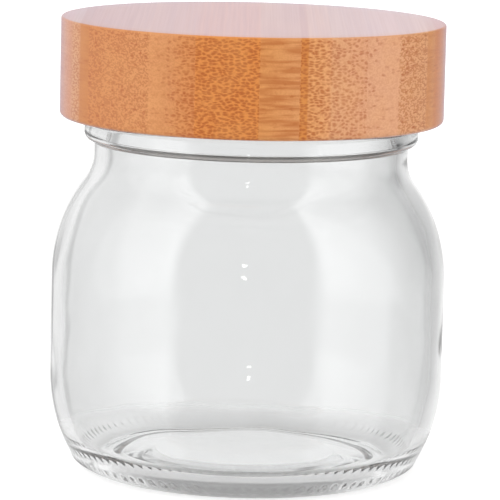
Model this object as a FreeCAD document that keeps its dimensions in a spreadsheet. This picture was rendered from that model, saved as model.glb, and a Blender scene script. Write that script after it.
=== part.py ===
"""Glass storage jar with a turned bamboo lid: a parametric FreeCAD model, in millimetres.

The jar is one piece of pressed glass: a squat barrel with a short neck, a bead under its
finish and a plain rounded rim.  The lid is one piece turned from laminated bamboo: a thick
cap whose recess goes over the finish and rests on the rim.  +Z is up, and the origin is the
centre of the bearing ring that the jar stands on.
"""
import FreeCAD, Part
import math
import os
import re

import Sketcher

SIZES = {
    # jar, outside, from the ground up
    "body_radius": 43.75,       # the upright part of the barrel
    "side_low": 22.0,           # height where the barrel becomes upright
    "side_length": 22.0,        # length of the upright part
    "belly_sweep": 36.8,        # radius of the arc under the upright part
    "heel_sweep": 8.0,          # radius of the rounded heel
    "shoulder_sweep": 34.5,     # radius of the shoulder's arc
    "neck_radius": 34.8,        # outside of the neck and of the finish
    "neck_sweep": 9.0,          # radius of the hollow arc from the shoulder into the neck
    "neck_length": 3.4,         # upright neck under the bead
    "bead_proud": 2.2,          # how far the bead stands out of the neck
    "bead_height": 4.6,
    "bead_low_round": 2.0,
    "bead_high_round": 1.0,
    "bead_root_round": 0.6,     # in the corner between neck and bead
    # jar, underside
    "foot_width": 2.6,          # the flat bearing ring, inwards from the heel's arc
    "foot_slope": 2.5,          # radial width of the slope from the ring up to the recess
    "foot_recess": 0.9,         # how far the middle of the underside is pushed up
    "foot_round": 0.8,
    # jar, inside
    "wall": 2.6,
    "floor_height": 3.0,        # inside floor above the bearing ring
    "floor_sweep": 10.5,        # radius of the arc between floor and wall
    "floor_ring": 1.0,          # width of the flat ring between that arc and the dome's slope
    "dome_rise": 1.2,           # how far the middle of the floor is raised
    "dome_slope": 8.0,          # radial width of the slope up to the raised middle
    "rim_round": 1.0,
    # ribs round the heel, which keep the glass from sticking and scratching
    "rib_count": 92,
    "rib_proud": 0.25,
    "rib_root": 0.4,            # how deep a rib's root runs into the glass
    "rib_start": 36.0,          # degrees up the heel from straight below
    "rib_end": 59.0,
    "rib_turn": 1.7,            # degrees round the axis that one rib takes
    # lid
    "lid_wall": 7.2,            # thickness of the skirt
    "lid_roof": 7.1,            # solid bamboo above the rim
    "lid_skirt": 14.9,          # how far the lid reaches down past the rim
    "lid_clearance": 0.5,       # radial, between the recess and the finish
    "lid_bead_gap": 0.5,        # between the lid's lower edge and the bead
    "lid_top_round": 0.5,
    "lid_low_round": 1.1,
    "lid_mouth_chamfer": 0.4,
}

# Heights and places that follow from the sizes
GROUND = "0"
HEEL_CENTRE = ("body_radius - belly_sweep"
               " + sqrt((belly_sweep - heel_sweep)^2 - (side_low - heel_sweep)^2)")
FLOOR_EDGE = ("body_radius - belly_sweep + sqrt((belly_sweep - wall - floor_sweep)^2"
              " - (side_low - floor_height - floor_sweep)^2)")
SIDE_HIGH = "side_low + side_length"
NECK_LOW = (SIDE_HIGH + " + sqrt((shoulder_sweep + neck_sweep)^2"
            " - (shoulder_sweep + neck_sweep + neck_radius - body_radius)^2)")
BEAD_LOW = NECK_LOW + " + neck_length"
BEAD_HIGH = BEAD_LOW + " + bead_height"
FINISH_LENGTH = "lid_skirt + lid_bead_gap"
RIM_HEIGHT = BEAD_HIGH + " + " + FINISH_LENGTH
FOOT_RADIUS = HEEL_CENTRE + " - foot_width"
DOME_FOOT = FLOOR_EDGE + " - floor_ring"
MOUTH_RADIUS = "neck_radius - wall"
BEAD_RADIUS = "neck_radius + bead_proud"
RECESS_RADIUS = "neck_radius + lid_clearance"
LID_RADIUS = RECESS_RADIUS + " + lid_wall"

START, END, CENTRE = 1, 2, 3    # the points of a sketch's edge
X_AXIS, Y_AXIS = -1, -2         # a sketch's own axes; the first one's start is its origin
ROUND_ERROR = 1e-6
FULL_TURN = 360


# ---------------------------------------------------------------- the document
doc = FreeCAD.newDocument("glass_jar_with_bamboo_lid")
sheet = doc.addObject("Spreadsheet::Sheet", "Sizes")
for row, (alias, size) in enumerate(SIZES.items(), start=1):
    sheet.set(f"A{row}", alias)
    sheet.set(f"B{row}", str(size))
    sheet.setAlias(f"B{row}", alias)
doc.recompute()


def formula(words):
    """Words such as "wall + foot_round" as an expression on the sheet's cells."""
    return re.sub(r"[a-z_]+", lambda word: "Sizes." + word[0] if word[0] in SIZES else word[0], words)


def number(words):
    return float(sheet.evalExpression(formula(words)))


def bind(thing, place, words):
    thing.setExpression(place, formula(words))


# ---------------------------------------------------------------- sketches
def origin_feature(body, role):
    return next(item for item in body.Origin.OriginFeatures if item.Role == role)


def upright_sketch(body, name):
    """An empty sketch on the body's XZ plane: across is the radius, and up is the height."""
    sketch = body.newObject("Sketcher::SketchObject", name)
    sketch.AttachmentSupport = [(origin_feature(body, "XZ_Plane"), "")]
    sketch.MapMode = "FlatFace"
    return sketch


def draw(sketch, corners, centres=None, smooth=()):
    """A closed outline through the corners.

    Edge i runs from corner i to the next, straight, or as an arc where centres has i.  The
    joints whose number is in smooth are tangent.  Straight edges that lie level or upright
    are held so.  It returns, for each edge, the names of its first and last points.
    """
    centres = centres or {}
    ends = []
    for edge, corner in enumerate(corners):
        target = corners[(edge + 1) % len(corners)]
        if edge in centres:
            centre = centres[edge]
            angles = [math.atan2(y - centre[1], x - centre[0]) for x, y in (corner, target)]
            forward = math.sin(angles[1] - angles[0]) > 0
            low, high = angles if forward else reversed(angles)
            radius = math.dist(centre, corner)
            circle = Part.Circle(FreeCAD.Vector(*centre, 0), FreeCAD.Vector(0, 0, 1), radius)
            sketch.addGeometry(Part.ArcOfCircle(circle, low, high))
            ends.append((START, END) if forward else (END, START))
        else:
            sketch.addGeometry(Part.LineSegment(FreeCAD.Vector(*corner, 0), FreeCAD.Vector(*target, 0)))
            ends.append((START, END))
            if abs(corner[0] - target[0]) < ROUND_ERROR and corner[0] > ROUND_ERROR:
                sketch.addConstraint(Sketcher.Constraint("Vertical", edge))
            if abs(corner[1] - target[1]) < ROUND_ERROR:
                sketch.addConstraint(Sketcher.Constraint("Horizontal", edge))
    for edge in range(len(corners)):
        before = edge - 1 if edge else len(corners) - 1
        kind = "Tangent" if edge in smooth else "Coincident"
        sketch.addConstraint(Sketcher.Constraint(kind, before, ends[before][1], edge, ends[edge][0]))
    return ends


def hold(sketch, kind, words, *where):
    """A dimension of the sketch, bound to the sheet."""
    place = sketch.addConstraint(Sketcher.Constraint(kind, *where, number(words)))
    bind(sketch, f"Constraints[{place}]", words)


def radius_at(sketch, edge, point, words):
    hold(sketch, "DistanceX", words, X_AXIS, START, edge, point)


def height_at(sketch, edge, point, words):
    hold(sketch, "DistanceY", words, X_AXIS, START, edge, point)


def on_axis(sketch, edge, point, axis):
    sketch.addConstraint(Sketcher.Constraint("PointOnObject", edge, point, axis))


def tangent_point(centre, radius, other):
    """The point of a circle that lies on the line from its centre through another centre."""
    reach = math.dist(centre, other)
    return tuple(here + radius * (there - here) / reach for here, there in zip(centre, other))


# ---------------------------------------------------------------- features
def turn(body, sketch, name, kind="PartDesign::Revolution"):
    """The sketch turned all the way round the body's axis, added or cut away."""
    feature = body.newObject(kind, name)
    feature.Profile = sketch
    feature.ReferenceAxis = (sketch, ["V_Axis"])
    feature.Angle = FULL_TURN
    doc.recompute()
    return feature


def ring_edges(feature, radius, height):
    """The names of the round edges of that radius at that height."""
    found = []
    for place, edge in enumerate(feature.Shape.Edges, start=1):
        if isinstance(edge.Curve, Part.Circle):
            near = abs(edge.Curve.Radius - radius) + abs(edge.Curve.Center.z - height)
            if near < ROUND_ERROR:
                found.append(f"Edge{place}")
    if not found:
        raise ValueError(f"{feature.Label} has no round edge at radius {radius}, height {height}")
    return found


def soften(body, name, radius, height, words, kind="PartDesign::Fillet", size="Radius"):
    """A fillet or chamfer on the round edges of that radius at that height."""
    base = body.Tip
    feature = body.newObject(kind, name)
    feature.Base = (base, ring_edges(base, number(radius), number(height)))
    bind(feature, size, words)
    doc.recompute()


# ---------------------------------------------------------------- glass jar
def jar_outside(body):
    """The solid glass, with no hollow yet."""
    side = number("body_radius")
    low, high = number("side_low"), number(SIDE_HIGH)
    belly_centre = (side - number("belly_sweep"), low)
    heel_centre = (number(HEEL_CENTRE), number("heel_sweep"))
    shoulder_centre = (side - number("shoulder_sweep"), high)
    neck_centre = (number("neck_radius + neck_sweep"), number(NECK_LOW))
    neck, bead = number("neck_radius"), number(BEAD_RADIUS)
    corners = [
        (0, number("foot_recess")),
        (number(FOOT_RADIUS + " - foot_slope"), number("foot_recess")),
        (number(FOOT_RADIUS), 0),
        (heel_centre[0], 0),
        tangent_point(belly_centre, number("belly_sweep"), heel_centre),
        (side, low),
        (side, high),
        tangent_point(shoulder_centre, number("shoulder_sweep"), neck_centre),
        (neck, number(NECK_LOW)),
        (neck, number(BEAD_LOW)),
        (bead, number(BEAD_LOW)),
        (bead, number(BEAD_HIGH)),
        (neck, number(BEAD_HIGH)),
        (neck, number(RIM_HEIGHT)),
        (0, number(RIM_HEIGHT)),
    ]
    slope, foot, heel, belly, upright, shoulder, neck_arc, neck_line = range(1, 9)
    bead_side, finish, rim = 10, 12, 13
    centres = {heel: heel_centre, belly: belly_centre, shoulder: shoulder_centre,
               neck_arc: neck_centre}
    sketch = upright_sketch(body, "JarOutside")
    draw(sketch, corners, centres, smooth=range(heel, neck_line + 1))
    on_axis(sketch, 0, START, Y_AXIS)
    on_axis(sketch, rim, END, Y_AXIS)
    on_axis(sketch, foot, START, X_AXIS)
    height_at(sketch, 0, START, "foot_recess")
    radius_at(sketch, slope, START, FOOT_RADIUS + " - foot_slope")
    radius_at(sketch, foot, START, FOOT_RADIUS)
    radius_at(sketch, upright, START, "body_radius")
    height_at(sketch, upright, START, "side_low")
    height_at(sketch, upright, END, SIDE_HIGH)
    for edge, words in ((heel, "heel_sweep"), (belly, "belly_sweep"),
                        (shoulder, "shoulder_sweep"), (neck_arc, "neck_sweep")):
        hold(sketch, "Radius", words, edge)
    radius_at(sketch, neck_line, START, "neck_radius")
    hold(sketch, "DistanceY", "neck_length", neck_line, START, neck_line, END)
    radius_at(sketch, bead_side, START, BEAD_RADIUS)
    hold(sketch, "DistanceY", "bead_height", bead_side, START, bead_side, END)
    radius_at(sketch, finish, START, "neck_radius")
    hold(sketch, "DistanceY", FINISH_LENGTH, finish, START, finish, END)
    turn(body, sketch, "Glass")
    return sketch


def jar_inside(body):
    """The hollow: its wall follows the outside arcs at one thickness."""
    side = number("body_radius - wall")
    low, high = number("side_low"), number(SIDE_HIGH)
    belly_centre = (number("body_radius - belly_sweep"), low)
    floor_centre = (number(FLOOR_EDGE), number("floor_height + floor_sweep"))
    shoulder_centre = (number("body_radius - shoulder_sweep"), high)
    neck_centre = (number("neck_radius + neck_sweep"), number(NECK_LOW))
    mouth, dome_top = number(MOUTH_RADIUS), number("floor_height + dome_rise")
    corners = [
        (0, dome_top),
        (number(DOME_FOOT + " - dome_slope"), dome_top),
        (number(DOME_FOOT), number("floor_height")),
        (floor_centre[0], number("floor_height")),
        tangent_point(belly_centre, number("belly_sweep - wall"), floor_centre),
        (side, low),
        (side, high),
        tangent_point(shoulder_centre, number("shoulder_sweep - wall"), neck_centre),
        (mouth, number(NECK_LOW)),
        (mouth, number(RIM_HEIGHT)),
        (0, number(RIM_HEIGHT)),
    ]
    slope, floor, floor_arc, belly, upright, shoulder, neck_arc, mouth_line, top = range(1, 10)
    centres = {floor_arc: floor_centre, belly: belly_centre, shoulder: shoulder_centre,
               neck_arc: neck_centre}
    sketch = upright_sketch(body, "JarInside")
    draw(sketch, corners, centres, smooth=range(floor_arc, mouth_line + 1))
    on_axis(sketch, 0, START, Y_AXIS)
    on_axis(sketch, top, END, Y_AXIS)
    height_at(sketch, 0, START, "floor_height + dome_rise")
    radius_at(sketch, slope, START, DOME_FOOT + " - dome_slope")
    radius_at(sketch, floor, START, DOME_FOOT)
    height_at(sketch, floor, START, "floor_height")
    radius_at(sketch, upright, START, "body_radius - wall")
    height_at(sketch, upright, START, "side_low")
    height_at(sketch, upright, END, SIDE_HIGH)
    for edge, words in ((floor_arc, "floor_sweep"), (belly, "belly_sweep - wall"),
                        (shoulder, "shoulder_sweep - wall"), (neck_arc, "neck_sweep + wall")):
        hold(sketch, "Radius", words, edge)
    radius_at(sketch, mouth_line, START, MOUTH_RADIUS)
    height_at(sketch, mouth_line, END, RIM_HEIGHT)
    turn(body, sketch, "Hollow", "PartDesign::Groove")
    return sketch


def jar_roundings(body):
    soften(body, "BeadRootRound", "neck_radius", BEAD_LOW, "bead_root_round")
    soften(body, "BeadLowRound", BEAD_RADIUS, BEAD_LOW, "bead_low_round")
    soften(body, "BeadHighRound", BEAD_RADIUS, BEAD_HIGH, "bead_high_round")
    soften(body, "RimOutsideRound", "neck_radius", RIM_HEIGHT, "rim_round")
    soften(body, "RimInsideRound", MOUTH_RADIUS, RIM_HEIGHT, "rim_round")
    soften(body, "FootRound", FOOT_RADIUS, GROUND, "foot_round")


def heel_ribs(body):
    """One rib along the heel's arc, repeated round the axis."""
    centre = (number(HEEL_CENTRE), number("heel_sweep"))
    reaches = {"inner": number("heel_sweep - rib_root"), "outer": number("heel_sweep + rib_proud")}

    def heel_point(reach, degrees):
        angle = math.radians(degrees)
        return (centre[0] + reaches[reach] * math.sin(angle), centre[1] - reaches[reach] * math.cos(angle))

    low, high = number("rib_start"), number("rib_end")
    corners = [heel_point("inner", low), heel_point("outer", low),
               heel_point("outer", high), heel_point("inner", high)]
    low_side, crest, high_side, root = range(4)
    sketch = upright_sketch(body, "HeelRib")
    draw(sketch, corners, {crest: centre, root: centre})
    sketch.addConstraint(Sketcher.Constraint("Coincident", crest, CENTRE, root, CENTRE))
    radius_at(sketch, crest, CENTRE, HEEL_CENTRE)
    height_at(sketch, crest, CENTRE, "heel_sweep")
    hold(sketch, "Radius", "heel_sweep + rib_proud", crest)
    hold(sketch, "Radius", "heel_sweep - rib_root", root)
    height_at(sketch, low_side, START, "heel_sweep - (heel_sweep - rib_root) * cos(rib_start * 1 deg)")
    height_at(sketch, low_side, END, "heel_sweep - (heel_sweep + rib_proud) * cos(rib_start * 1 deg)")
    height_at(sketch, high_side, START, "heel_sweep - (heel_sweep + rib_proud) * cos(rib_end * 1 deg)")
    height_at(sketch, high_side, END, "heel_sweep - (heel_sweep - rib_root) * cos(rib_end * 1 deg)")

    rib = turn(body, sketch, "Rib")
    rib.Midplane = True
    bind(rib, "Angle", "rib_turn")
    pattern = body.newObject("PartDesign::PolarPattern", "Ribs")
    pattern.Originals = [rib]
    pattern.Axis = (origin_feature(body, "Z_Axis"), [""])
    pattern.Angle = FULL_TURN
    bind(pattern, "Occurrences", "rib_count")
    body.Tip = pattern
    doc.recompute()
    return sketch


def glass_jar():
    body = doc.addObject("PartDesign::Body", "GlassJar")
    body.Label = "glass_jar"
    sketches = [jar_outside(body), jar_inside(body)]
    jar_roundings(body)
    sketches.append(heel_ribs(body))
    return body, sketches


# ---------------------------------------------------------------- bamboo lid
def bamboo_lid():
    """The cap in its own frame, whose zero height is the recess's ceiling, set on the rim."""
    body = doc.addObject("PartDesign::Body", "BambooLid")
    body.Label = "bamboo_lid"
    bind(body, "Placement.Base.z", RIM_HEIGHT)
    corners = [
        (0, 0),
        (number(RECESS_RADIUS), 0),
        (number(RECESS_RADIUS), -number("lid_skirt")),
        (number(LID_RADIUS), -number("lid_skirt")),
        (number(LID_RADIUS), number("lid_roof")),
        (0, number("lid_roof")),
    ]
    recess_side, lower_face, outside, top = 1, 2, 3, 4
    sketch = upright_sketch(body, "LidSection")
    draw(sketch, corners)
    on_axis(sketch, 0, START, Y_AXIS)
    on_axis(sketch, 0, START, X_AXIS)
    on_axis(sketch, top, END, Y_AXIS)
    radius_at(sketch, recess_side, START, RECESS_RADIUS)
    height_at(sketch, lower_face, START, "-lid_skirt")
    radius_at(sketch, outside, START, LID_RADIUS)
    height_at(sketch, outside, END, "lid_roof")
    turn(body, sketch, "Bamboo")
    soften(body, "TopRound", LID_RADIUS, "lid_roof", "lid_top_round")
    soften(body, "LowRound", LID_RADIUS, "-lid_skirt", "lid_low_round")
    soften(body, "MouthChamfer", RECESS_RADIUS, "-lid_skirt", "lid_mouth_chamfer",
           "PartDesign::Chamfer", "Size")
    return body, [sketch]


# ---------------------------------------------------------------- check and export
def check(bodies, sketches):
    for sketch in sketches:
        if not sketch.FullyConstrained:
            raise RuntimeError(f"sketch {sketch.Label} is not fully constrained")
    for thing in doc.Objects:
        if "Invalid" in thing.State or "Error" in thing.State:
            raise RuntimeError(f"{thing.Label} failed: {thing.State}")
    for body in bodies:
        shape = body.Shape
        if shape.isNull() or not shape.isValid() or len(shape.Solids) != 1:
            raise RuntimeError(f"{body.Label} is not one valid solid")


jar, jar_sketches = glass_jar()
lid, lid_sketches = bamboo_lid()
doc.recompute()
check([jar, lid], jar_sketches + lid_sketches)
os.makedirs("parts", exist_ok=True)
for piece in (jar, lid):
    piece.Shape.exportStep(f"parts/{piece.Label}.step")
    box = piece.Shape.optimalBoundingBox(False, False)
    print(piece.Label, f"z {box.ZMin:.3f} to {box.ZMax:.3f}, across {box.XLength:.3f},",
          f"volume {piece.Shape.Volume / 1000:.2f} cm3, faces {len(piece.Shape.Faces)}")
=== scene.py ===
"""Glass storage jar with a turned bamboo lid: its looks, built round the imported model, in metres.

The jar is one lathe-turned piece of clear glass with a slightly uneven inside and short ribs
round its heel.  The lid is one turned piece of laminated bamboo, whose fibres run along Y.
"""
import math
from collections import namedtuple

import bpy
from mathutils import Matrix, Vector


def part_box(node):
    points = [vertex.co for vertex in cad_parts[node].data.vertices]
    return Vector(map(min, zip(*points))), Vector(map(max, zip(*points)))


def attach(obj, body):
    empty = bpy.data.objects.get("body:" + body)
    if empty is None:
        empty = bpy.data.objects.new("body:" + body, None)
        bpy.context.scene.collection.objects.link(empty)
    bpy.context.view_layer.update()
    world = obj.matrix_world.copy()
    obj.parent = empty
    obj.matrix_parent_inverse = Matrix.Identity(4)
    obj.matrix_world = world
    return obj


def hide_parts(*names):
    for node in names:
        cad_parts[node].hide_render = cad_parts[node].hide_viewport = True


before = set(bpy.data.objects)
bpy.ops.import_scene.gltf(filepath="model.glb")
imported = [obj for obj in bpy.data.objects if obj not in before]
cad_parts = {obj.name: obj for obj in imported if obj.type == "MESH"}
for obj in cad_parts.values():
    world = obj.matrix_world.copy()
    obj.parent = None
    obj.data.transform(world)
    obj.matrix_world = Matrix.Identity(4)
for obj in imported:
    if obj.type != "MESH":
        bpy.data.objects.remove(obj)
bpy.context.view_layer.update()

MM = 0.001

# ---------------------------------------------------------------- sizes, in millimetres
jar_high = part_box("glass_jar")[1] / MM
lid_low, lid_high = (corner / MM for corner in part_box("bamboo_lid"))

BODY_RADIUS = 43.75
SIDE_LOW, SIDE_HIGH = 22.0, 44.0
BELLY_SWEEP, HEEL_SWEEP, SHOULDER_SWEEP, NECK_SWEEP = 36.8, 8.0, 34.5, 9.0
NECK_RADIUS = 34.8
NECK_LENGTH = 3.4
BEAD_PROUD = 2.2
BEAD_GAP = 0.5              # between the lid's lower edge and the bead
BEAD_HIGH = lid_low.z - BEAD_GAP
BEAD_ROOT_ROUND, BEAD_HIGH_ROUND = 0.6, 1.0
BEAD_LOW_ROUND = BEAD_PROUD - BEAD_ROOT_ROUND       # all the room that the root round leaves
RIM_HEIGHT = jar_high.z
RIM_ROUND = 1.0
WALL = 2.6
FLOOR_HEIGHT, FLOOR_SWEEP, FLOOR_RING = 3.0, 10.5, 1.0
DOME_RISE, DOME_SLOPE = 1.2, 8.0
FOOT_WIDTH, FOOT_SLOPE, FOOT_RECESS = 2.6, 2.5, 0.9
FOOT_ROUND = 0.8
SLOPE_ROUND = 1.5           # where the slopes of floor and underside begin and end
RIBS = 92
RIB_COLUMNS = 5             # columns of faces round the axis for each rib
RIB_PROUD = 0.25
RIB_START, RIB_END = 36.0, 59.0     # degrees up the heel from straight below
RIB_WIDENING = 0.25         # makes the ribs wider than the hollows between them
HEEL_NEARNESS = 0.05        # a vertex this near to the heel's arc is on it
UNEVEN_DEPTH, UNEVEN_WAVE = 0.22, 16.0
UNEVEN_START, UNEVEN_FADE = 2.0, 8.0        # above the floor, and how far it takes to grow

LID_RADIUS = 42.5
LID_CLEARANCE = 0.5
LID_TOP_ROUND, LID_LOW_ROUND, LID_MOUTH_CHAMFER = 0.5, 1.1, 0.4
LID_COLUMNS = 256
MERGE_REACH = 0.0005
SMOOTH_UP_TO = 35           # degrees between faces that still shade smooth


# ---------------------------------------------------------------- sections
def leg(long_side, short_side):
    return math.sqrt(long_side ** 2 - short_side ** 2)


def arc(centre, radius, first, last, steps):
    """Points of an arc, from the first angle to the last, in degrees up from the radius line."""
    turns = [math.radians(first + (last - first) * step / steps) for step in range(steps + 1)]
    return [(centre[0] + radius * math.cos(turn), centre[1] + radius * math.sin(turn)) for turn in turns]


def line(start, end, steps):
    return [tuple(a + (b - a) * step / steps for a, b in zip(start, end)) for step in range(steps + 1)]


def rounded(before, corner, after, radius, steps=5):
    """The points of a round that replaces a corner between two straight edges."""
    corner = Vector(corner)
    back, ahead = (Vector(before) - corner).normalized(), (Vector(after) - corner).normalized()
    half = back.angle(ahead) / 2
    start, end = corner + back * radius / math.tan(half), corner + ahead * radius / math.tan(half)
    centre = corner + (back + ahead).normalized() * radius / math.sin(half)
    points = []
    for step in range(steps + 1):
        towards = start.lerp(end, step / steps) - centre
        points.append(tuple(centre + towards.normalized() * radius))
    return points


def without_repeats(points, nearest=0.001):
    kept = [points[0]]
    kept += [point for before, point in zip(points, points[1:]) if math.dist(before, point) > nearest]
    return kept


def jar_section():
    """The glass from the middle of its underside, out and up to the rim, and down to the floor.
    The last number of a line, an arc or a round is how many edges it is cut into."""
    belly = (BODY_RADIUS - BELLY_SWEEP, SIDE_LOW)
    heel = (belly[0] + leg(BELLY_SWEEP - HEEL_SWEEP, SIDE_LOW - HEEL_SWEEP), HEEL_SWEEP)
    floor_height = FLOOR_HEIGHT + FLOOR_SWEEP
    floor = (belly[0] + leg(BELLY_SWEEP - WALL - FLOOR_SWEEP, SIDE_LOW - floor_height), floor_height)
    shoulder = (BODY_RADIUS - SHOULDER_SWEEP, SIDE_HIGH)
    sweeps = SHOULDER_SWEEP + NECK_SWEEP
    neck_centre_radius = NECK_RADIUS + NECK_SWEEP
    neck = (neck_centre_radius, SIDE_HIGH + leg(sweeps, neck_centre_radius - shoulder[0]))
    heel_turn = math.degrees(math.atan2(heel[1] - belly[1], heel[0] - belly[0]))
    floor_turn = math.degrees(math.atan2(floor[1] - belly[1], floor[0] - belly[0]))
    neck_turn = math.degrees(math.atan2(neck[1] - shoulder[1], neck[0] - shoulder[0]))
    bead_low, bead = neck[1] + NECK_LENGTH, NECK_RADIUS + BEAD_PROUD
    mouth = NECK_RADIUS - WALL
    foot = heel[0] - FOOT_WIDTH
    dome_foot, dome_top = floor[0] - FLOOR_RING, FLOOR_HEIGHT + DOME_RISE
    recess_edge = (foot - FOOT_SLOPE, FOOT_RECESS)
    dome_edge = (dome_foot - DOME_SLOPE, dome_top)
    outside = (
        line((0, FOOT_RECESS), (recess_edge[0] - SLOPE_ROUND, FOOT_RECESS), 6)
        + rounded((0, FOOT_RECESS), recess_edge, (foot, 0), SLOPE_ROUND)
        + rounded(recess_edge, (foot, 0), (heel[0], 0), FOOT_ROUND)
        + arc(heel, HEEL_SWEEP, -90, heel_turn, 26)
        + arc(belly, BELLY_SWEEP, heel_turn, 0, 14)
        + line((BODY_RADIUS, SIDE_LOW), (BODY_RADIUS, SIDE_HIGH), 8)
        + arc(shoulder, SHOULDER_SWEEP, 0, neck_turn, 18)
        + arc(neck, NECK_SWEEP, 180 + neck_turn, 180, 10)
        + rounded((NECK_RADIUS, neck[1]), (NECK_RADIUS, bead_low), (bead, bead_low), BEAD_ROOT_ROUND)
        + rounded((NECK_RADIUS, bead_low), (bead, bead_low), (bead, BEAD_HIGH), BEAD_LOW_ROUND, 7)
        + rounded((bead, bead_low), (bead, BEAD_HIGH), (NECK_RADIUS, BEAD_HIGH), BEAD_HIGH_ROUND)
        + [(NECK_RADIUS, BEAD_HIGH)]
        + rounded((NECK_RADIUS, BEAD_HIGH), (NECK_RADIUS, RIM_HEIGHT), (mouth, RIM_HEIGHT), RIM_ROUND)
    )
    inside = (
        rounded((NECK_RADIUS, RIM_HEIGHT), (mouth, RIM_HEIGHT), (mouth, neck[1]), RIM_ROUND)
        + line((mouth, RIM_HEIGHT - RIM_ROUND), (mouth, neck[1]), 12)
        + arc(neck, NECK_SWEEP + WALL, 180, 180 + neck_turn, 10)
        + arc(shoulder, SHOULDER_SWEEP - WALL, neck_turn, 0, 16)
        + line((BODY_RADIUS - WALL, SIDE_HIGH), (BODY_RADIUS - WALL, SIDE_LOW), 16)
        + arc(belly, BELLY_SWEEP - WALL, 0, floor_turn, 10)
        + arc(floor, FLOOR_SWEEP, floor_turn, -90, 16)
        + rounded((floor[0], FLOOR_HEIGHT), (dome_foot, FLOOR_HEIGHT), dome_edge, SLOPE_ROUND)
        + rounded((dome_foot, FLOOR_HEIGHT), dome_edge, (0, dome_top), SLOPE_ROUND)
        + line((dome_edge[0] - SLOPE_ROUND, dome_top), (0, dome_top), 8)
    )
    return without_repeats(outside + inside), heel


def lid_section():
    """The bamboo from the middle of the recess's ceiling, down, round and up to the top's middle."""
    recess = NECK_RADIUS + LID_CLEARANCE
    low, high, ceiling = lid_low.z, lid_high.z, RIM_HEIGHT
    points = (
        line((0, ceiling), (recess, ceiling), 6)
        + line((recess, ceiling), (recess, low + LID_MOUTH_CHAMFER), 4)
        + [(recess + LID_MOUTH_CHAMFER, low)]
        + rounded((recess, low), (LID_RADIUS, low), (LID_RADIUS, high), LID_LOW_ROUND, 7)
        + line((LID_RADIUS, low + LID_LOW_ROUND), (LID_RADIUS, high - LID_TOP_ROUND), 6)
        + rounded((LID_RADIUS, low), (LID_RADIUS, high), (0, high), LID_TOP_ROUND, 6)
        + line((LID_RADIUS - LID_TOP_ROUND, high), (0, high), 8)
    )
    return without_repeats(points)


# ---------------------------------------------------------------- modelling
def choose(piece=None):
    bpy.ops.object.select_all(action="DESELECT")
    if piece:
        piece.select_set(True)
    bpy.context.view_layer.objects.active = piece


def turned(name, section, columns):
    """A closed solid: the section is drawn point by point and spun round the upright axis."""
    choose()
    bpy.ops.mesh.primitive_plane_add(size=MM)
    piece = bpy.context.object
    piece.name = piece.data.name = name
    bpy.ops.object.mode_set(mode="EDIT")
    bpy.ops.mesh.select_all(action="SELECT")
    bpy.ops.mesh.merge(type="CENTER")
    places = [Vector((radius, 0, height)) * MM for radius, height in section]
    bpy.ops.transform.translate(value=places[0])
    for before, place in zip(places, places[1:]):
        bpy.ops.mesh.extrude_region_move(TRANSFORM_OT_translate={"value": place - before})
    bpy.ops.mesh.select_all(action="SELECT")
    bpy.ops.mesh.spin(steps=columns, angle=2 * math.pi, center=(0, 0, 0), axis=(0, 0, 1))
    bpy.ops.mesh.select_all(action="SELECT")
    bpy.ops.mesh.remove_doubles(threshold=MERGE_REACH * MM)
    bpy.ops.mesh.normals_make_consistent(inside=False)
    bpy.ops.object.mode_set(mode="OBJECT")
    bpy.ops.object.shade_smooth_by_angle(angle=math.radians(SMOOTH_UP_TO))
    return piece


def swell(piece, name, weigh, strength, texture=None, middle=0.0):
    """Moves the surface along its normals by strength times each vertex's weight.  With a texture
    it moves by how far the texture is from its middle."""
    group = piece.vertex_groups.new(name=name)
    for vertex in piece.data.vertices:
        weight = weigh(vertex.co / MM)
        if weight > 0:
            group.add([vertex.index], weight, "REPLACE")
    modifier = piece.modifiers.new(name, "DISPLACE")
    modifier.vertex_group = name
    modifier.strength = strength * MM
    modifier.mid_level = middle
    if texture:
        modifier.texture = texture
        modifier.texture_coords = "LOCAL"
    choose(piece)
    bpy.ops.object.modifier_apply(modifier=name)


def glass_jar():
    section, heel = jar_section()
    piece = turned("jar_glass", section, RIBS * RIB_COLUMNS)

    def on_a_rib(place):
        radius = math.hypot(place.x, place.y)
        up_the_heel = math.degrees(math.atan2(radius - heel[0], heel[1] - place.z))
        off_the_heel = abs(math.dist((radius, place.z), heel) - HEEL_SWEEP) > HEEL_NEARNESS
        if off_the_heel or not RIB_START < up_the_heel < RIB_END:
            return 0
        along = max(0, math.sin(math.pi * (up_the_heel - RIB_START) / (RIB_END - RIB_START)))
        around = math.cos(RIBS * math.atan2(place.y, place.x))
        return along * min(1, max(0, RIB_WIDENING + around))

    def on_the_inside(place):
        """1 on the wall inside, fading out at the mouth and towards the floor."""
        lowest = FLOOR_HEIGHT + UNEVEN_START
        radius = math.hypot(place.x, place.y)
        if not lowest < place.z < BEAD_HIGH or radius > inner_radius(place.z) + WALL / 2:
            return 0
        return min(1, (place.z - lowest) / UNEVEN_FADE, (BEAD_HIGH - place.z) / UNEVEN_FADE)

    swell(piece, "heel ribs", on_a_rib, RIB_PROUD)
    waves = bpy.data.textures.new("blown unevenness", "CLOUDS")
    waves.noise_scale = UNEVEN_WAVE * MM
    waves.noise_depth = 1
    swell(piece, "uneven inside", on_the_inside, UNEVEN_DEPTH, waves, 0.5)
    return piece


def inner_radius(height):
    """The radius of the inside wall at a height, to tell inside from outside."""
    if height < SIDE_LOW:
        return BODY_RADIUS - BELLY_SWEEP + leg(BELLY_SWEEP - WALL, SIDE_LOW - height)
    if height < SIDE_HIGH:
        return BODY_RADIUS - WALL
    reach = SHOULDER_SWEEP - WALL
    on_shoulder = BODY_RADIUS - SHOULDER_SWEEP + leg(reach, min(height - SIDE_HIGH, reach))
    return max(on_shoulder, NECK_RADIUS - WALL)


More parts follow.
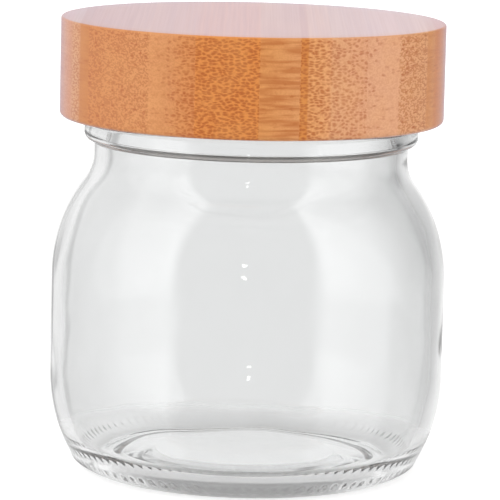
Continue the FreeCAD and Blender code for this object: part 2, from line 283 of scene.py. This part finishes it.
# ---------------------------------------------------------------- materials
def linear(*levels):
    """A colour given as 0 to 255 display levels."""
    return tuple(((level / 255 + 0.055) / 1.055) ** 2.4 for level in levels) + (1,)


def add(tree, kind, sockets=None, **settings):
    node = tree.nodes.new(kind)
    for name, value in settings.items():
        setattr(node, name, value)
    for name, value in (sockets or {}).items():
        if isinstance(value, bpy.types.NodeSocket):
            tree.links.new(value, node.inputs[name])
        else:
            node.inputs[name].default_value = value
    return node


def compute(tree, operation, *values):
    sockets = dict(enumerate(values))
    return add(tree, "ShaderNodeMath", sockets, operation=operation).outputs[0]


def blend(tree, share, first, second):
    """Two colours mixed: share of the second."""
    node = add(tree, "ShaderNodeMix", data_type="RGBA")
    for socket, value in zip((node.inputs[0], node.inputs[6], node.inputs[7]), (share, first, second)):
        if isinstance(value, bpy.types.NodeSocket):
            tree.links.new(value, socket)
        else:
            socket.default_value = value
    return node.outputs[2]


def window(tree, value, low, high):
    """0 below low, 1 above high, smooth between them."""
    sockets = {"Value": value, "From Min": low, "From Max": high}
    return add(tree, "ShaderNodeMapRange", sockets, interpolation_type="SMOOTHSTEP").outputs[0]


def new_material(name):
    material = bpy.data.materials.new(name)
    material.use_nodes = True
    tree = material.node_tree
    return material, tree, tree.nodes["Principled BSDF"], tree.nodes["Material Output"]


GLASS_TONES = (0.875, 0.88, 0.88, 1), (0.885, 0.89, 0.89, 1)
GLASS_SHADOW = 0.9          # how much light a shadow of the glass lets through


def clear_glass():
    """Soda-lime glass, whose tone drifts a little from place to place."""
    material, tree, shader, output = new_material("clear_glass")
    place = add(tree, "ShaderNodeTexCoord").outputs["Object"]
    drift = add(tree, "ShaderNodeTexNoise", {"Vector": place, "Scale": 90, "Detail": 1}).outputs["Fac"]
    tree.links.new(blend(tree, drift, *GLASS_TONES), shader.inputs["Base Color"])
    shader.inputs["Roughness"].default_value = 0.0
    shader.inputs["IOR"].default_value = 1.52
    shader.inputs["Transmission Weight"].default_value = 1
    in_shadow = add(tree, "ShaderNodeLightPath").outputs["Is Shadow Ray"]
    clear = add(tree, "ShaderNodeBsdfTransparent", {"Color": (GLASS_SHADOW,) * 3 + (1,)})
    mixed = add(tree, "ShaderNodeMixShader", {0: in_shadow, 1: shader.outputs[0], 2: clear.outputs[0]})
    tree.links.new(mixed.outputs[0], output.inputs["Surface"])
    return material


# The glued strips from left to right: where each ends across the lid, then its colour at its left
# and right side, then its marks at both sides: shares of dots, lenses, streaks and ripples.
# The colours are each strip's own tone, but the paler, pinker colours of the two outer left strips
# and of the strips from 16.6 to 37.7 on the right also hold painted sheen of the side panels.
Strip = namedtuple("Strip", "end left_colour right_colour left_marks right_marks")
STRIPS = [
    # painted sheen: these two strips at the left edge are paler and pinker than their own tone
    Strip(-39.2, (206, 138, 96), (206, 138, 96), (0.0, 0.0, 0.3, 0.4), (0.0, 0.0, 0.3, 0.4)),
    Strip(-37.5, (208, 150, 106), (208, 150, 106), (0.0, 0.0, 0.0, 1.0), (0.0, 0.0, 0.0, 1.0)),
    Strip(-35.3, (198, 124, 58), (198, 124, 58), (0.0, 0.0, 0.3, 0.2), (0.0, 0.0, 0.3, 0.2)),
    Strip(-22.2, (204, 128, 64), (212, 141, 82), (0.2, 0.0, 0.0, 1.0), (0.2, 0.0, 0.0, 1.0)),
    Strip(-18.4, (217, 147, 87), (210, 138, 80), (0.0, 0.0, 0.2, 0.4), (0.1, 0.0, 0.2, 0.4)),
    Strip(-12.2, (210, 138, 80), (216, 138, 74), (0.4, 0.0, 0.0, 0.5), (1.0, 0.6, 0.0, 0.3)),
    Strip(1.6, (221, 138, 61), (222, 137, 57), (0.4, 1.0, 0.0, 0.3), (0.0, 1.0, 0.0, 0.3)),
    Strip(10.2, (218, 146, 78), (218, 150, 92), (0.0, 0.0, 1.0, 0.2), (0.0, 0.0, 1.0, 0.2)),
    Strip(11.8, (212, 132, 54), (212, 132, 54), (0.0, 1.0, 0.4, 0.0), (0.0, 1.0, 0.4, 0.0)),
    Strip(16.6, (226, 158, 94), (226, 161, 106), (0.0, 1.0, 0.0, 0.2), (0.9, 0.6, 0.0, 0.2)),
    # painted sheen: the next three strips, from 16.6 to 37.7, are paler and pinker than their own tone
    Strip(24.4, (220, 160, 110), (218, 156, 114), (1.0, 0.2, 0.0, 0.2), (0.5, 0.0, 0.0, 0.3)),
    Strip(31.5, (219, 159, 118), (225, 164, 124), (0.2, 0.0, 0.0, 0.3), (0.0, 0.0, 0.0, 0.2)),
    Strip(37.7, (221, 162, 119), (225, 164, 116), (0.2, 0.0, 0.0, 0.8), (0.1, 0.0, 0.1, 0.8)),
    Strip(39.5, (217, 147, 86), (217, 147, 86), (0.0, 0.0, 0.4, 0.2), (0.0, 0.0, 0.4, 0.2)),
    Strip(LID_RADIUS, (213, 128, 52), (213, 128, 52), (0.0, 0.0, 0.2, 0.2), (0.0, 0.0, 0.2, 0.2)),
]
SEAM = 0.0006               # how far a strip's colour stops short of a seam, as a share of the lid
RIPPLE_TONE, STREAK_TONE, BUNDLE_TONE = (184, 106, 48), (182, 98, 36), (168, 74, 0)
# The last tone is painted light: a pale neutral grey in place of bamboo inside the recess under the lid, so
# it does not render dark in its own shade.
FINE_TONE, BROAD_TONE, PAINTED_LIGHT_RECESS_TONE = (190, 116, 50), (232, 170, 100), (228, 226, 222)
MARK_DEPTH = 0.8            # how far ripples, streaks and bundles go to their own tone
DRIFT_DEPTH = 0.15          # the same for the fine and the broad changes of tone
PAINTED_LIGHT_RECESS_DEPTH = 0.9          # the same for the inside of the recess, which is painted light: pale grey lifting it out of its own shade
FIBRE_LENGTH = 60           # how slowly the marks change along the fibres
DOT_WEIGHT = 0.75           # dots beside lenses
TOP_MARKS = 0.2             # what is left of the marks on the top, where the fibres lie flat
BUNDLE_HEART = 0.2          # the fully dark share of a bundle's reach


def strip_ramp(tree, across, left, right, as_colour):
    """A ramp from side to side of the lid, with one stop at each side of each strip."""
    node = add(tree, "ShaderNodeValToRGB", {"Fac": across})
    ramp = node.color_ramp
    stops, start = [], 0.0
    for strip in STRIPS:
        end = (strip.end + LID_RADIUS) / (2 * LID_RADIUS)
        stops.append((start + SEAM, as_colour(getattr(strip, left))))
        stops.append((end - SEAM, as_colour(getattr(strip, right))))
        start = end
    while len(ramp.elements) < len(stops):
        ramp.elements.new(1)
    for element, (place, colour) in zip(ramp.elements, stops):
        element.position = place
        element.color = colour
    return node.outputs


def vector(tree, operation, first, second):
    return add(tree, "ShaderNodeVectorMath", {0: first, 1: second}, operation=operation).outputs[0]


def grains(tree, source, size_x, size_z, detail=0):
    """A noise on the cut ends whose grains are that large in millimetres."""
    scaled = vector(tree, "MULTIPLY", source, (1 / size_x, 1 / size_z, 1))
    return add(tree, "ShaderNodeTexNoise", {"Vector": scaled, "Scale": 1, "Detail": detail}).outputs


def bundles(tree, source, size_x, size_z, share, reach):
    """Cut fibre bundles: one dark spot in each cell, in that share of the cells."""
    scaled = vector(tree, "MULTIPLY", source, (1 / size_x, 1 / size_z, 0))
    sockets = {"Vector": scaled, "Scale": 1, "Randomness": 0.8}
    cells = add(tree, "ShaderNodeTexVoronoi", sockets, voronoi_dimensions="2D").outputs
    chance = add(tree, "ShaderNodeSeparateColor", {0: cells["Color"]}).outputs[0]
    spot = window(tree, cells["Distance"], reach, reach * BUNDLE_HEART)
    there = window(tree, compute(tree, "SUBTRACT", share, chance), -0.15, 0.15)
    return compute(tree, "MULTIPLY", spot, there)


def inside_recess(tree, axes):
    """1 on the walls and the ceiling of the recess under the lid, 0 elsewhere: where the pale painted light
    goes.
    """
    flat = add(tree, "ShaderNodeCombineXYZ", {"X": axes["X"], "Y": axes["Y"]}).outputs[0]
    radius = add(tree, "ShaderNodeVectorMath", {0: flat}, operation="LENGTH").outputs["Value"]
    recess = NECK_RADIUS + LID_CLEARANCE
    near_axis = window(tree, radius, recess + 0.5, recess + 0.2)
    under_roof = window(tree, axes["Z"], RIM_HEIGHT + 0.6, RIM_HEIGHT + 0.3)
    return compute(tree, "MULTIPLY", near_axis, under_roof)


def bamboo():
    """Fibre bundles run along Y, so everything is drawn on their cut ends, across X and Z."""
    material, tree, shader, _ = new_material("bamboo")
    place = add(tree, "ShaderNodeTexCoord").outputs["Object"]
    millimetres = add(tree, "ShaderNodeVectorMath", {0: place, "Scale": 1 / MM}, operation="SCALE").outputs[0]
    axes = add(tree, "ShaderNodeSeparateXYZ", {0: millimetres}).outputs
    length = compute(tree, "DIVIDE", axes["Y"], FIBRE_LENGTH)
    cut = add(tree, "ShaderNodeCombineXYZ", {"X": axes["X"], "Y": axes["Z"], "Z": length}).outputs[0]
    bend = vector(tree, "SUBTRACT", grains(tree, cut, 2.2, 1.6)["Color"], (0.5, 0.5, 0.5))
    bent_cut = vector(tree, "ADD", cut, vector(tree, "MULTIPLY", bend, (1.0, 0.8, 0)))

    across = compute(tree, "MULTIPLY_ADD", axes["X"], 1 / (2 * LID_RADIUS), 0.5)
    colour = strip_ramp(tree, across, "left_colour", "right_colour", lambda tone: linear(*tone))["Color"]
    shares = strip_ramp(tree, across, "left_marks", "right_marks", tuple)
    marks = add(tree, "ShaderNodeSeparateColor", {0: shares["Color"]}).outputs
    on_side = window(tree, axes["Z"], lid_high.z - 0.1, lid_high.z - 0.6)
    end_grain = compute(tree, "MULTIPLY_ADD", on_side, 1 - TOP_MARKS, TOP_MARKS)

    dots = bundles(tree, bent_cut, 1.0, 0.66, marks["Red"], 0.62)
    lenses = bundles(tree, bent_cut, 1.2, 0.56, marks["Green"], 0.66)
    bundle = compute(tree, "MAXIMUM", compute(tree, "MULTIPLY", dots, DOT_WEIGHT), lenses)
    streaks = window(tree, grains(tree, cut, 9, 0.9, 2)["Fac"], 0.36, 0.66)
    streak = compute(tree, "MULTIPLY", streaks, marks["Blue"])
    ripples = window(tree, grains(tree, cut, 0.36, 0.34)["Fac"], 0.42, 0.6)
    ripple = compute(tree, "MULTIPLY", ripples, shares["Alpha"])
    ripple, streak, bundle = (compute(tree, "MULTIPLY", mark, end_grain) for mark in (ripple, streak, bundle))
    fine = grains(tree, cut, 0.3, 0.3, 2)["Fac"]
    broad = grains(tree, cut, 5, 6, 2)["Fac"]

    for share, depth, tone in (
        (ripple, MARK_DEPTH, RIPPLE_TONE),
        (streak, MARK_DEPTH, STREAK_TONE),
        (bundle, MARK_DEPTH, BUNDLE_TONE),
        (window(tree, fine, 0.35, 0.75), DRIFT_DEPTH, FINE_TONE),
        (window(tree, broad, 0.3, 0.8), DRIFT_DEPTH, BROAD_TONE),
        # painted light: the recess is lifted to pale grey out of its own shade
        (inside_recess(tree, axes), PAINTED_LIGHT_RECESS_DEPTH, PAINTED_LIGHT_RECESS_TONE),
    ):
        colour = blend(tree, compute(tree, "MULTIPLY", share, depth), colour, linear(*tone))
    tree.links.new(colour, shader.inputs["Base Color"])

    rough = compute(tree, "MULTIPLY_ADD", fine, 0.15, 0.36)
    tree.links.new(rough, shader.inputs["Roughness"])
    relief = compute(tree, "SUBTRACT", compute(tree, "MULTIPLY", fine, 0.4), bundle)
    bump = add(tree, "ShaderNodeBump", {"Height": relief, "Strength": 0.2, "Distance": 0.04 * MM})
    tree.links.new(bump.outputs[0], shader.inputs["Normal"])
    shader.inputs["Specular IOR Level"].default_value = 0.3
    shader.inputs["Coat Weight"].default_value = 0.3
    shader.inputs["Coat Roughness"].default_value = 0.15
    shader.inputs["Coat IOR"].default_value = 1.5
    shader.inputs["Sheen Weight"].default_value = 0.6
    shader.inputs["Sheen Roughness"].default_value = 0.3
    shader.inputs["Sheen Tint"].default_value = (0.55, 0.68, 1.0, 1)
    return material


# The stage, in metres from the middle of the jar's foot.
STAGE_TONE = (0.8, 0.8, 0.8, 1)
STAGE_GLOW = 0.5                            # lifts the stage to white for the camera
GLOW_AROUND, GLOW_BELOW = 0.27, 0.7         # how the glass sees it glow beside the jar and under it
AROUND_FADE = (-0.14, -0.03)                # along Y, where each glow begins and where it is full
# painted shadow: under the foot, the glass sees no glow beneath the front half of the jar
BELOW_FADE = (-0.028, -0.012)
FOOT_REACH = 0.033                          # as wide as the ring that the jar stands on
STAGE_REACH = (0.045, 0.07)                 # where it gives way to the room for the glass


def white_stage():
    """Matt white that keeps the jar's shadow.  For the glass only, it also glows as painted light
    beside and behind the jar, fading out in front of it, and under the back half of the foot, so that
    the glass sees a painted shadow under the front half.  Past the jar's own surroundings, the glass
    sees the room through it instead."""
    material, tree, shader, output = new_material("white_stage")
    shader.inputs["Base Color"].default_value = STAGE_TONE
    shader.inputs["Roughness"].default_value = 1
    shader.inputs["Specular IOR Level"].default_value = 0
    path = add(tree, "ShaderNodeLightPath").outputs
    by_glass = compute(tree, "MAXIMUM", path["Is Glossy Ray"], path["Is Transmission Ray"])
    seen = compute(tree, "MAXIMUM", path["Is Camera Ray"], by_glass)
    place = add(tree, "ShaderNodeTexCoord").outputs["Object"]
    reach = add(tree, "ShaderNodeVectorMath", {0: place}, operation="LENGTH").outputs["Value"]
    depth = add(tree, "ShaderNodeSeparateXYZ", {0: place}).outputs["Y"]

    outside = window(tree, reach, FOOT_REACH, FOOT_REACH + MM)
    under = compute(tree, "SUBTRACT", 1, outside)
    around_glow = compute(tree, "MULTIPLY", window(tree, depth, *AROUND_FADE), GLOW_AROUND)
    below_glow = compute(tree, "MULTIPLY", window(tree, depth, *BELOW_FADE), GLOW_BELOW)
    around_glow = compute(tree, "MULTIPLY", outside, around_glow)
    # painted glow under the back half of the foot, painted shadow under the front half
    below_glow = compute(tree, "MULTIPLY", under, below_glow)
    camera_glow = compute(tree, "MULTIPLY", path["Is Camera Ray"], STAGE_GLOW)
    strength = compute(tree, "MAXIMUM", camera_glow, compute(tree, "ADD", around_glow, below_glow))

    glow = add(tree, "ShaderNodeEmission", {"Color": (1, 1, 1, 1), "Strength": strength})
    matt = add(tree, "ShaderNodeBsdfDiffuse", {"Color": STAGE_TONE})
    both = add(tree, "ShaderNodeAddShader", {0: glow.outputs[0], 1: matt.outputs[0]})
    shown = add(tree, "ShaderNodeMixShader", {0: seen, 1: shader.outputs[0], 2: both.outputs[0]})
    far = compute(tree, "MULTIPLY", by_glass, window(tree, reach, *STAGE_REACH))
    see_through = add(tree, "ShaderNodeBsdfTransparent")
    mixed = add(tree, "ShaderNodeMixShader", {0: far, 1: shown.outputs[0], 2: see_through.outputs[0]})
    tree.links.new(mixed.outputs[0], output.inputs["Surface"])
    return material


# ---------------------------------------------------------------- stage, lights and camera
# How bright the room is, by degrees round from the front: to the left of it below 0, to the right
# above, and straight behind the jar at 180 both ways.  First above the table's level, then below.
ROOM_ABOVE = [
    (-166, 1.0), (-163, 0.45), (-160, 0.45), (-157, 1.0), (-125, 0.95),
    (-90, 1.2), (-70, 1.9), (-48, 2.4), (-42, 0.85),
    (42, 0.85), (48, 2.2), (70, 1.6), (90, 1.1), (97, 0.7),
    (112, 0.1), (134, 0.1), (145, 0.6), (160, 0.75), (168, 1.0),
]
ROOM_BELOW = [
    (-166, 1.0), (-163, 0.45), (-160, 0.45), (-157, 0.9), (-120, 0.8),
    (-90, 1.4), (-48, 1.5), (-42, 0.85),
    (42, 0.85), (48, 1.45), (88, 1.35), (96, 0.6),
    (125, 0.65), (150, 0.7), (168, 1.0),
]
ROOM_POWER = 2.5            # the brightness that white stands for in the ramps
HORIZON = (-0.3, 0.1)       # how far up a direction points, from all lower room to all upper room

# The stage's size and the lamps, in metres and watts.
STAGE_SIZE = 8
PANEL_SIZE = (0.36, 0.70)
PANEL_POWER = 0.26
PANEL_SIDE, PANEL_DEPTH, PANEL_HEIGHT = 0.30, -0.13, 0.35
SLOW_FADE, QUICK_FADE = 0.5, 0.1            # one upright edge of a panel, and its other edges
LAMP_SIZE = 0.04
LAMPS = {"upper_lamp": ((-0.03, -1.1, 0.42), 0.05), "lower_lamp": ((-0.03, -1.1, 0.235), 0.04)}


def stage_floor():
    choose()
    bpy.ops.mesh.primitive_plane_add(size=STAGE_SIZE)
    floor = bpy.context.object
    floor.name = "floor"
    floor.data.materials.append(white_stage())


def soft_light(name, place, target, width, height, power, fade=None):
    """An area lamp.  fade = how much of its width and height it takes to fade in from each side:
    (left, right, bottom, top), seen from behind the lamp."""
    light = bpy.data.lights.new(name, "AREA")
    light.shape = "RECTANGLE"
    light.size, light.size_y = width, height
    light.energy = power
    if fade:
        light.use_nodes = True
        tree = light.node_tree
        on_lamp = add(tree, "ShaderNodeNewGeometry").outputs["Parametric"]
        spot = add(tree, "ShaderNodeSeparateXYZ", {0: on_lamp}).outputs
        up = spot["X"]
        across = compute(tree, "SUBTRACT", 1, compute(tree, "ADD", up, spot["Y"]))
        strength = 1
        for along, low, high in ((across, fade[0], fade[1]), (up, fade[2], fade[3])):
            strength = compute(tree, "MULTIPLY", strength, window(tree, along, 0, low))
            strength = compute(tree, "MULTIPLY", strength, window(tree, along, 1, 1 - high))
        tree.links.new(strength, tree.nodes["Emission"].inputs["Strength"])
    holder = bpy.data.objects.new(name, light)
    holder.location = place
    holder.rotation_euler = (Vector(target) - Vector(place)).to_track_quat("-Z", "Y").to_euler()
    holder.visible_camera = False
    bpy.context.scene.collection.objects.link(holder)
    return holder


def all_round(tree, share, levels):
    """The room's brightness at a share of a full turn, from behind over the left, front and right."""
    node = add(tree, "ShaderNodeValToRGB", {"Fac": share})
    ramp = node.color_ramp
    while len(ramp.elements) < len(levels):
        ramp.elements.new(1)
    for element, (degrees, level) in zip(ramp.elements, levels):
        element.position = 0.5 + degrees / 360
        element.color = [level / ROOM_POWER] * 3 + [1]
    return node.outputs["Color"]


def pale_room():
    """A room all round, whose brightness changes with direction.  The camera sees it white."""
    world = bpy.data.worlds.new("pale_room")
    bpy.context.scene.world = world
    world.use_nodes = True
    tree = world.node_tree
    direction = add(tree, "ShaderNodeTexCoord").outputs["Generated"]
    facing = add(tree, "ShaderNodeSeparateXYZ", {0: direction}).outputs
    turn = compute(tree, "ARCTAN2", facing["X"], compute(tree, "MULTIPLY", facing["Y"], -1))
    share = compute(tree, "MULTIPLY_ADD", turn, 0.5 / math.pi, 0.5)
    below, above = all_round(tree, share, ROOM_BELOW), all_round(tree, share, ROOM_ABOVE)
    level = blend(tree, window(tree, facing["Z"], *HORIZON), below, above)
    by_camera = add(tree, "ShaderNodeLightPath").outputs["Is Camera Ray"]
    level = blend(tree, by_camera, level, (1 / ROOM_POWER,) * 3 + (1,))
    tree.links.new(level, tree.nodes["Background"].inputs["Color"])
    tree.nodes["Background"].inputs["Strength"].default_value = ROOM_POWER


def studio():
    """Two panels beside the jar, two small weak lamps near the camera, and the room."""
    for name, side, uprights in (
        ("left_panel", -1, (SLOW_FADE, QUICK_FADE)),
        ("right_panel", 1, (QUICK_FADE, SLOW_FADE)),
    ):
        place = (side * PANEL_SIDE, PANEL_DEPTH, PANEL_HEIGHT)
        fade = uprights + (QUICK_FADE, QUICK_FADE)
        soft_light(name, place, (0, PANEL_DEPTH, PANEL_HEIGHT), *PANEL_SIZE, PANEL_POWER, fade)
    middle = (0, 0, 0.05)
    for name, (place, power) in LAMPS.items():
        soft_light(name, place, middle, LAMP_SIZE, LAMP_SIZE, power)
    pale_room()


CAMERA_TARGET = (0.00035, 0, 0.04935)
CAMERA_DISTANCE = 0.9
CAMERA_ELEVATION, CAMERA_ROLL = 8.56, 1.39      # degrees
CAMERA_SENSOR, CAMERA_LENS = 36, 291.2


def camera():
    """A little above the jar, looking slightly down, and turned a touch on its own axis."""
    lens = bpy.data.cameras.new("camera")
    lens.sensor_width = CAMERA_SENSOR
    lens.lens = CAMERA_LENS
    holder = bpy.data.objects.new("camera", lens)
    bpy.context.scene.collection.objects.link(holder)
    elevation, roll = math.radians(CAMERA_ELEVATION), math.radians(CAMERA_ROLL)
    turn = Matrix.Rotation(math.pi / 2 - elevation, 4, "X") @ Matrix.Rotation(roll, 4, "Z")
    away = Vector((0, -math.cos(elevation), math.sin(elevation)))
    place = Vector(CAMERA_TARGET) + away * CAMERA_DISTANCE
    holder.matrix_world = Matrix.Translation(place) @ turn
    bpy.context.scene.camera = holder
    bpy.context.scene.view_settings.view_transform = "Standard"


def light_paths():
    """Thick glass throws light about inside it many times before it comes out."""
    paths = bpy.context.scene.cycles
    paths.max_bounces = 32
    paths.glossy_bounces = 16
    paths.transmission_bounces = 24


# ---------------------------------------------------------------- the scene
jar = glass_jar()
jar.data.materials.append(clear_glass())
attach(jar, "root")
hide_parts("glass_jar")

lid = turned("lid_bamboo", lid_section(), LID_COLUMNS)
lid.data.materials.append(bamboo())
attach(lid, "root")
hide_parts("bamboo_lid")

stage_floor()
studio()
camera()
light_paths()
